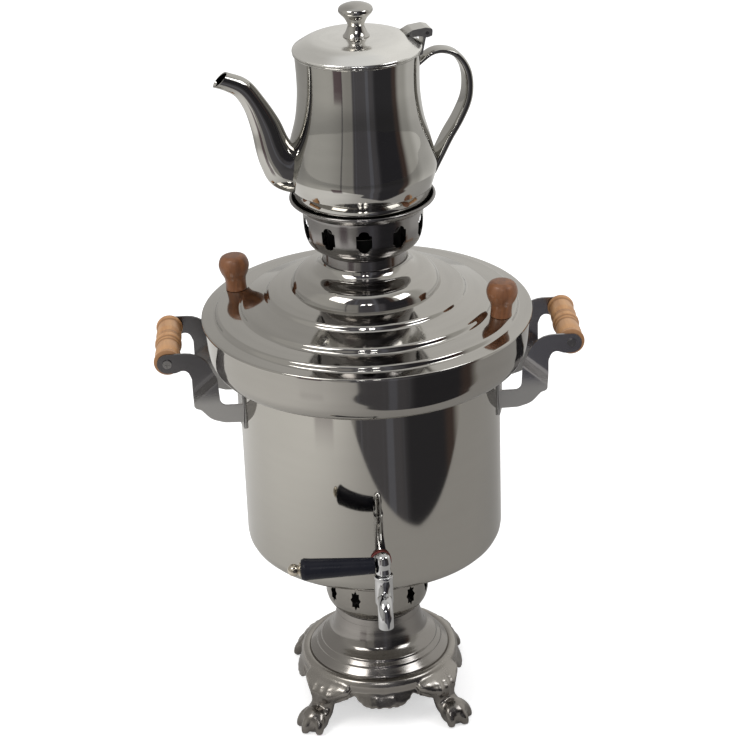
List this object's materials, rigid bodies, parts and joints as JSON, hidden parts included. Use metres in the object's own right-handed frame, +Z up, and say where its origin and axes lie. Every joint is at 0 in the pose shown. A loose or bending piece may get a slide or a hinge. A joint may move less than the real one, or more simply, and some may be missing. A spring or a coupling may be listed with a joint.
{
  "type": "samovar with teakettle",
  "caption": "Steel samovar on a cast base with clawed feet, with a turning tap, wooden side grips, a stepped lift-off lid, a slotted crown and a long-spouted teakettle with a hinged lid.",
  "frame": {"origin": "on the tank's axis at the level of the table, the centre of the circle on which the paws stand", "axes": "+Z up along the tank's axis, the tap towards -Y, the side grips on the left (-X) and right (+X)"},
  "size_m": [0.3888, 0.3461, 0.6935],
  "materials": {
    "satin_steel": "satin, finely brushed round the axis, with soft dark reflections",
    "polished_steel": "polished sheet with fine brush lines on the flats",
    "crown_steel": "darker brushed sheet, smoked inside",
    "kettle_steel": "mirror polished, satin on the lid's dome",
    "cast_metal": "nickel-coloured satin casting with leaf relief",
    "tube_steel": "plain drawn tube, dull from the fire",
    "grate_iron": "rough casting",
    "arm_steel": "dark grey satin stamped sheet",
    "beech": "turned, clear varnish",
    "knob_wood": "turned, reddish varnish",
    "tap_chrome": "bright chrome plate",
    "lever_black": "black, glossy",
    "ball_nickel": "pale polished brass",
    "washer_red": "dull reddish fibre",
    "nut_brass": "plain machined brass",
    "screw_steel": "dark zinc plate"
  },
  "bodies": {
    "samovar": {"tank": "satin_steel", "collar": "polished_steel", "fire_tube": "tube_steel", "fire_grate": "grate_iron", "draught_ring": "satin_steel", "flared_foot": "satin_steel", "base_ring": "cast_metal", "leg_front_left": "cast_metal", "leg_front_right": "cast_metal", "leg_back_left": "cast_metal", "leg_back_right": "cast_metal", "leg_screws": "screw_steel", "handle_bracket_left": "arm_steel", "handle_bracket_right": "arm_steel", "side_grip_left": "beech", "side_grip_right": "beech", "grip_screws": "screw_steel", "tap_body": "tap_chrome", "tap_washer_outer": "washer_red", "tap_washer_inner": "washer_red", "tap_nut": "nut_brass", "tap_bonnet": "tap_chrome"},
    "tap_lever": {"tap_plug": "tap_chrome", "lever_grip": "lever_black", "lever_ball": "ball_nickel"},
    "lid": {"lid": "polished_steel", "lid_knob_left": "knob_wood", "lid_knob_right": "knob_wood", "lid_knob_screws": "screw_steel"},
    "crown": {"crown": "crown_steel"},
    "kettle": {"kettle_body": "kettle_steel", "kettle_spout": "kettle_steel", "kettle_handle": "kettle_steel", "kettle_hinge_bracket": "kettle_steel"},
    "kettle_lid": {"kettle_lid": "kettle_steel", "kettle_knob": "kettle_steel", "kettle_knob_screw": "screw_steel", "kettle_hinge_leaf": "kettle_steel", "kettle_hinge_pin": "screw_steel"}
  },
  "joints": [
    {"name": "tap_turn", "type": "hinge", "parent": "samovar", "child": "tap_lever", "pos_m": [0, -0.17, 0.212], "axis": [0, 0, 1], "range_deg": [0, 90]},
    {"name": "lid_lift", "type": "slide", "parent": "samovar", "child": "lid", "axis": [0, 0, 1], "range_m": [0, 0.12]},
    {"name": "crown_lift", "type": "slide", "parent": "lid", "child": "crown", "axis": [0, 0, 1], "range_m": [0, 0.08]},
    {"name": "kettle_lift", "type": "slide", "parent": "crown", "child": "kettle", "axis": [0, 0, 1], "range_m": [0, 0.08]},
    {"name": "kettle_lid_hinge", "type": "hinge", "parent": "kettle", "child": "kettle_lid", "pos_m": [0.05965, 0.01322, 0.66182], "axis": [-0.2164, 0.9763, 0], "range_deg": [0, 100]}
  ]
}
